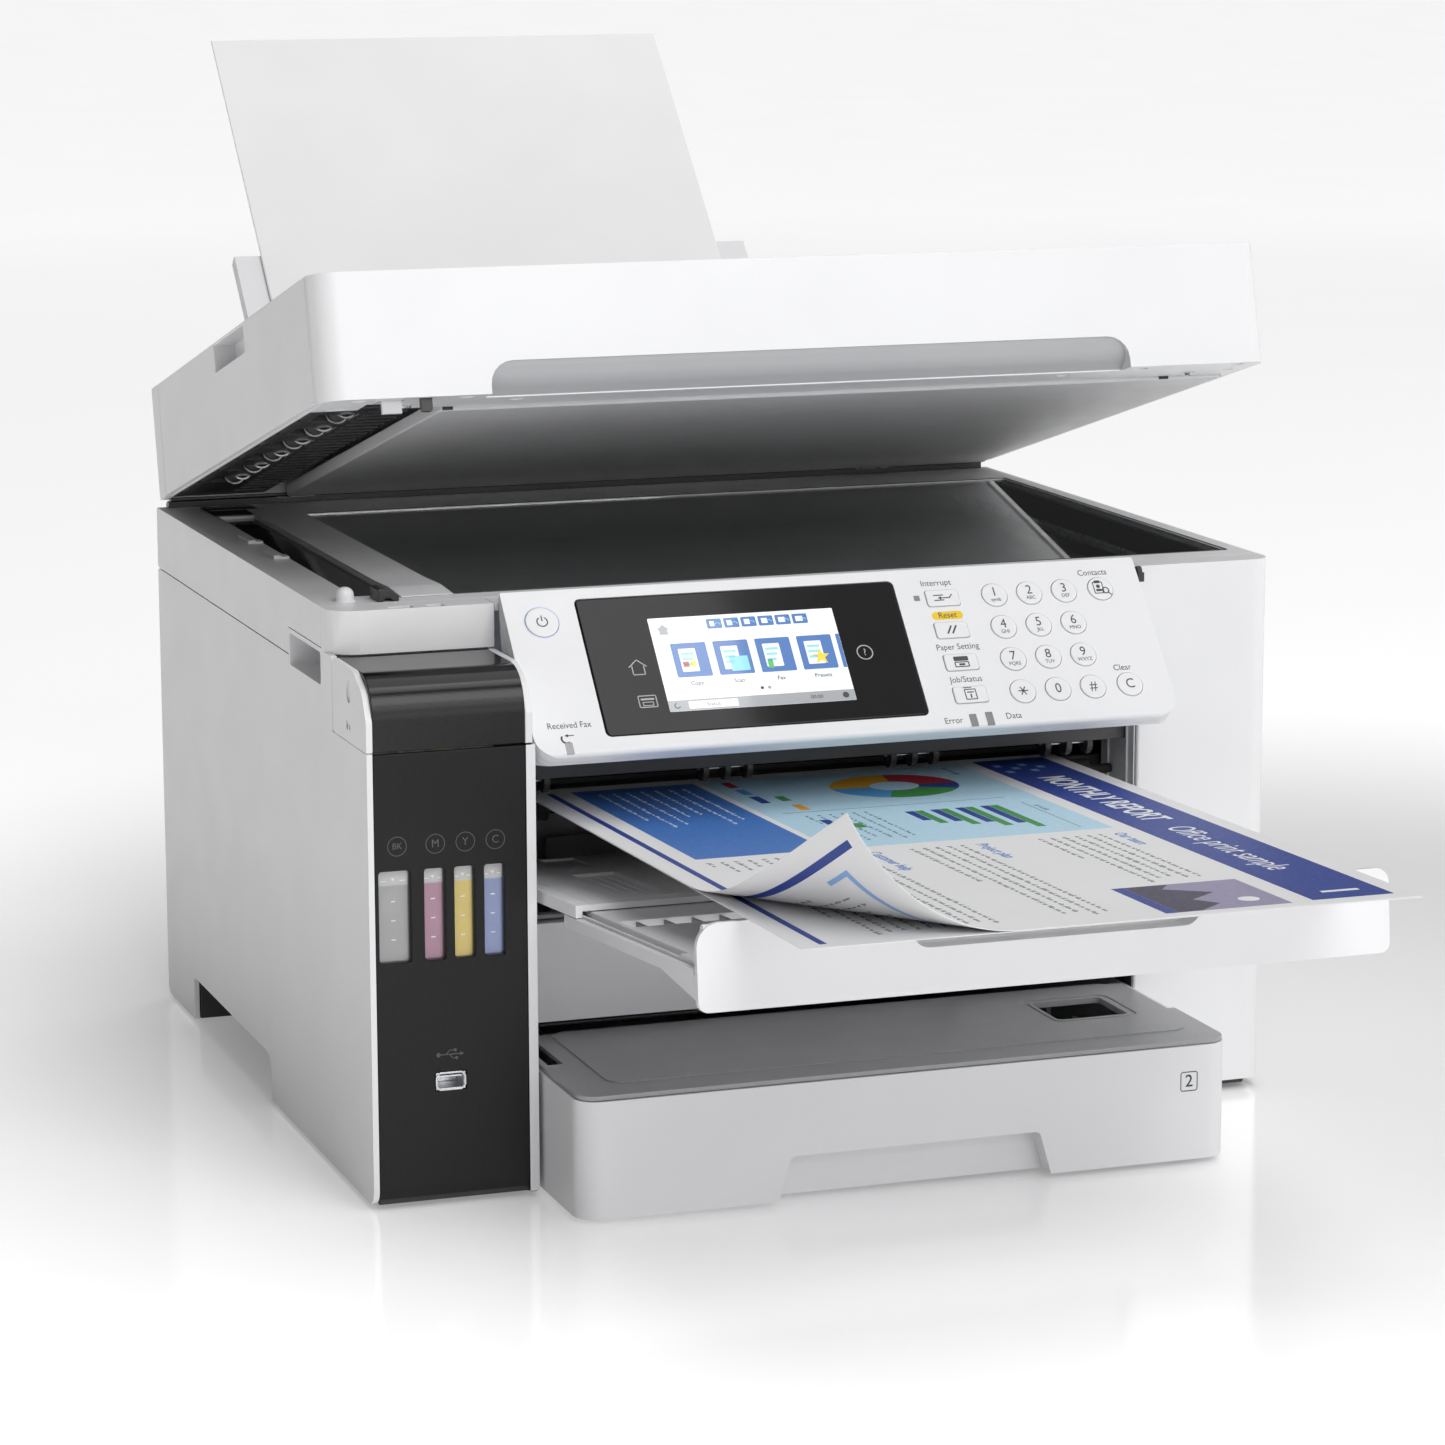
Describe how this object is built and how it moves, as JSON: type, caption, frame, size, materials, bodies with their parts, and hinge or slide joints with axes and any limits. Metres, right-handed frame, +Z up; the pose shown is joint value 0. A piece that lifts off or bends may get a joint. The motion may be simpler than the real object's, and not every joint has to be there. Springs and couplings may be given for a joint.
{
  "type": "inkjet multifunction printer",
  "caption": "Wide-format inkjet printer with flatbed scanner, feeder lid, tilting touch panel, ink tanks, paper cassettes, output tray and rear paper support.",
  "frame": {"origin": "on the surface it stands on, under the middle of its extent with the tray, the sheets and the rear support as at rest", "axes": "+X to the printer's right seen from behind its front, that is to the viewer's right when facing it, -Y out of its front, +Z up"},
  "size_m": [0.515, 1.0795, 0.5433],
  "materials": {
    "body_white": "fine satin texture",
    "inner_white": "satin",
    "light_grey": "satin",
    "dark_plastic": "satin",
    "black_panel": "fine woven texture",
    "black_gloss": "polished",
    "key_white": "satin",
    "window_glass": "polished",
    "steel": "brushed",
    "ink_black": "polished",
    "ink_magenta": "polished",
    "ink_yellow": "polished",
    "ink_cyan": "polished",
    "paper": "matte paper",
    "roller_rubber": "matte",
    "mat_foam": "matte"
  },
  "bodies": {
    "print_unit": {"base_frame": "light_grey", "left_side_cover": "body_white", "right_side_cover": "body_white", "panel_mount_frame": "body_white", "rear_cover": "body_white", "tank_front_panel": "black_panel", "ink_tank_black": "ink_black", "ink_tank_magenta": "ink_magenta", "ink_tank_yellow": "ink_yellow", "ink_tank_cyan": "ink_cyan", "usb_port": "steel", "platen": "dark_plastic", "carriage_rail": "steel", "star_wheel_bar": "dark_plastic"},
    "scanner_unit": {"scanner_housing": "body_white", "scanner_glass": "window_glass"},
    "document_lid": {"lid_housing": "body_white", "document_mat": "mat_foam", "adf_paper_path": "dark_plastic", "lid_hinge_bar": "dark_plastic"},
    "feeder_cover": {"adf_cover": "body_white"},
    "feeder_flap": {"adf_input_flap": "inner_white"},
    "operation_panel": {"control_panel": "body_white", "touch_display": "black_gloss"},
    "tank_hood": {"tank_cover": "black_panel"},
    "tray_inner": {"output_tray_inner": "inner_white"},
    "tray_outer": {"output_tray_outer": "inner_white"},
    "upper_cassette": {"cassette_1": "inner_white"},
    "lower_cassette": {"cassette_2": "inner_white", "cassette_2_cover": "light_grey"},
    "support": {"paper_support": "light_grey"},
    "support_extension": {"paper_support_extension": "light_grey"},
    "blank_sheet": {"loaded_sheet": "paper"},
    "output_sheet": {"printed_sheet": "paper"},
    "carriage": {"print_head": "dark_plastic"},
    "scan_carriage": {"scan_bar": "dark_plastic"},
    "roller": {"discharge_roller": "roller_rubber"},
    "cap_black": {"tank_cap_black": "ink_black"},
    "cap_magenta": {"tank_cap_magenta": "ink_magenta"},
    "cap_yellow": {"tank_cap_yellow": "ink_yellow"},
    "cap_cyan": {"tank_cap_cyan": "ink_cyan"},
    "key_power_button": {"key_power": "key_white"},
    "key_1_button": {"key_1": "key_white"},
    "key_2_button": {"key_2": "key_white"},
    "key_3_button": {"key_3": "key_white"},
    "key_4_button": {"key_4": "key_white"},
    "key_5_button": {"key_5": "key_white"},
    "key_6_button": {"key_6": "key_white"},
    "key_7_button": {"key_7": "key_white"},
    "key_8_button": {"key_8": "key_white"},
    "key_9_button": {"key_9": "key_white"},
    "key_star_button": {"key_star": "key_white"},
    "key_0_button": {"key_0": "key_white"},
    "key_hash_button": {"key_hash": "key_white"},
    "key_contacts_button": {"key_contacts": "key_white"},
    "key_clear_button": {"key_clear": "key_white"},
    "key_interrupt_button": {"key_interrupt": "key_white"},
    "key_reset_button": {"key_reset": "key_white"},
    "key_paper_setting_button": {"key_paper_setting": "key_white"},
    "key_job_status_button": {"key_job_status": "key_white"}
  },
  "joints": [
    {"name": "lid_hinge", "type": "hinge", "parent": "scanner_unit", "child": "document_lid", "pos_m": [0, 0.23887, 0.2925], "axis": [1, 0, 0], "range_deg": [-45, 14.6]},
    {"name": "scanner_lift", "type": "hinge", "parent": "print_unit", "child": "scanner_unit", "pos_m": [0, 0.23887, 0.256], "axis": [-1, 0, 0], "range_deg": [0, 25]},
    {"name": "feeder_cover_hinge", "type": "hinge", "parent": "document_lid", "child": "feeder_cover", "pos_m": [-0.07, 0.255, 0.35443], "axis": [0, 0.9677, -0.2521], "range_deg": [0, 55]},
    {"name": "feeder_flap_hinge", "type": "hinge", "parent": "document_lid", "child": "feeder_flap", "pos_m": [-0.0574, 0.255, 0.35443], "axis": [0, -0.9677, 0.2521], "range_deg": [0, 75]},
    {"name": "panel_tilt", "type": "hinge", "parent": "print_unit", "child": "operation_panel", "pos_m": [0, -0.16343, 0.292], "axis": [-1, 0, 0], "range_deg": [-30, 15]},
    {"name": "tank_hood_hinge", "type": "hinge", "parent": "print_unit", "child": "tank_hood", "pos_m": [-0.2154, -0.16663, 0.2652], "axis": [-1, 0, 0], "range_deg": [0, 85]},
    {"name": "tray_inner_slide", "type": "slide", "parent": "print_unit", "child": "tray_inner", "axis": [0, -0.996, 0.0889], "range_m": [-0.115, 0]},
    {"name": "tray_outer_slide", "type": "slide", "parent": "tray_inner", "child": "tray_outer", "axis": [0, -0.996, 0.0889], "range_m": [-0.155, 0]},
    {"name": "upper_cassette_slide", "type": "slide", "parent": "print_unit", "child": "upper_cassette", "axis": [0, -1, 0], "range_m": [0, 0.3]},
    {"name": "lower_cassette_slide", "type": "slide", "parent": "print_unit", "child": "lower_cassette", "axis": [0, -1, 0], "range_m": [0, 0.3]},
    {"name": "support_hinge", "type": "hinge", "parent": "print_unit", "child": "support", "pos_m": [0, 0.26537, 0.2518], "axis": [1, 0, 0], "range_deg": [0, 24]},
    {"name": "support_extension_slide", "type": "slide", "parent": "support", "child": "support_extension", "axis": [0, 0.6947, 0.7193], "range_m": [-0.1, 0]},
    {"name": "blank_sheet_slide", "type": "slide", "parent": "support", "child": "blank_sheet", "axis": [0, 0.6947, 0.7193], "range_m": [0, 0.3]},
    {"name": "output_sheet_slide", "type": "slide", "parent": "print_unit", "child": "output_sheet", "axis": [0, -0.9996, 0.0291], "range_m": [0, 0.4]},
    {"name": "carriage_slide", "type": "slide", "parent": "print_unit", "child": "carriage", "axis": [1, 0, 0], "range_m": [-0.26, 0]},
    {"name": "scan_carriage_slide", "type": "slide", "parent": "scanner_unit", "child": "scan_carriage", "axis": [1, 0, 0], "range_m": [0, 0.4]},
    {"name": "roller_spin", "type": "hinge", "parent": "print_unit", "child": "roller", "pos_m": [0, -0.13163, 0.1766], "axis": [1, 0, 0], "continuous": true},
    {"name": "cap_black_hinge", "type": "hinge", "parent": "print_unit", "child": "cap_black", "pos_m": [-0.2441, -0.16663, 0.2292], "axis": [-1, 0, 0], "range_deg": [0, 80]},
    {"name": "cap_magenta_hinge", "type": "hinge", "parent": "print_unit", "child": "cap_magenta", "pos_m": [-0.2243, -0.16663, 0.2292], "axis": [-1, 0, 0], "range_deg": [0, 80]},
    {"name": "cap_yellow_hinge", "type": "hinge", "parent": "print_unit", "child": "cap_yellow", "pos_m": [-0.209, -0.16663, 0.2292], "axis": [-1, 0, 0], "range_deg": [0, 80]},
    {"name": "cap_cyan_hinge", "type": "hinge", "parent": "print_unit", "child": "cap_cyan", "pos_m": [-0.1937, -0.16663, 0.2292], "axis": [-1, 0, 0], "range_deg": [0, 80]},
    {"name": "key_power_press", "type": "slide", "parent": "operation_panel", "child": "key_power_button", "axis": [0, 0.749, -0.6626], "range_m": [0, 0.0008], "stiffness_N_per_m": 300},
    {"name": "key_1_press", "type": "slide", "parent": "operation_panel", "child": "key_1_button", "axis": [0, 0.749, -0.6626], "range_m": [0, 0.0008], "stiffness_N_per_m": 300},
    {"name": "key_2_press", "type": "slide", "parent": "operation_panel", "child": "key_2_button", "axis": [0, 0.749, -0.6626], "range_m": [0, 0.0008], "stiffness_N_per_m": 300},
    {"name": "key_3_press", "type": "slide", "parent": "operation_panel", "child": "key_3_button", "axis": [0, 0.749, -0.6626], "range_m": [0, 0.0008], "stiffness_N_per_m": 300},
    {"name": "key_4_press", "type": "slide", "parent": "operation_panel", "child": "key_4_button", "axis": [0, 0.749, -0.6626], "range_m": [0, 0.0008], "stiffness_N_per_m": 300},
    {"name": "key_5_press", "type": "slide", "parent": "operation_panel", "child": "key_5_button", "axis": [0, 0.749, -0.6626], "range_m": [0, 0.0008], "stiffness_N_per_m": 300},
    {"name": "key_6_press", "type": "slide", "parent": "operation_panel", "child": "key_6_button", "axis": [0, 0.749, -0.6626], "range_m": [0, 0.0008], "stiffness_N_per_m": 300},
    {"name": "key_7_press", "type": "slide", "parent": "operation_panel", "child": "key_7_button", "axis": [0, 0.749, -0.6626], "range_m": [0, 0.0008], "stiffness_N_per_m": 300},
    {"name": "key_8_press", "type": "slide", "parent": "operation_panel", "child": "key_8_button", "axis": [0, 0.749, -0.6626], "range_m": [0, 0.0008], "stiffness_N_per_m": 300},
    {"name": "key_9_press", "type": "slide", "parent": "operation_panel", "child": "key_9_button", "axis": [0, 0.749, -0.6626], "range_m": [0, 0.0008], "stiffness_N_per_m": 300},
    {"name": "key_star_press", "type": "slide", "parent": "operation_panel", "child": "key_star_button", "axis": [0, 0.749, -0.6626], "range_m": [0, 0.0008], "stiffness_N_per_m": 300},
    {"name": "key_0_press", "type": "slide", "parent": "operation_panel", "child": "key_0_button", "axis": [0, 0.749, -0.6626], "range_m": [0, 0.0008], "stiffness_N_per_m": 300},
    {"name": "key_hash_press", "type": "slide", "parent": "operation_panel", "child": "key_hash_button", "axis": [0, 0.749, -0.6626], "range_m": [0, 0.0008], "stiffness_N_per_m": 300},
    {"name": "key_contacts_press", "type": "slide", "parent": "operation_panel", "child": "key_contacts_button", "axis": [0, 0.749, -0.6626], "range_m": [0, 0.0008], "stiffness_N_per_m": 300},
    {"name": "key_clear_press", "type": "slide", "parent": "operation_panel", "child": "key_clear_button", "axis": [0, 0.749, -0.6626], "range_m": [0, 0.0008], "stiffness_N_per_m": 300},
    {"name": "key_interrupt_press", "type": "slide", "parent": "operation_panel", "child": "key_interrupt_button", "axis": [0, 0.749, -0.6626], "range_m": [0, 0.0008], "stiffness_N_per_m": 300},
    {"name": "key_reset_press", "type": "slide", "parent": "operation_panel", "child": "key_reset_button", "axis": [0, 0.749, -0.6626], "range_m": [0, 0.0008], "stiffness_N_per_m": 300},
    {"name": "key_paper_setting_press", "type": "slide", "parent": "operation_panel", "child": "key_paper_setting_button", "axis": [0, 0.749, -0.6626], "range_m": [0, 0.0008], "stiffness_N_per_m": 300},
    {"name": "key_job_status_press", "type": "slide", "parent": "operation_panel", "child": "key_job_status_button", "axis": [0, 0.749, -0.6626], "range_m": [0, 0.0008], "stiffness_N_per_m": 300}
  ]
}
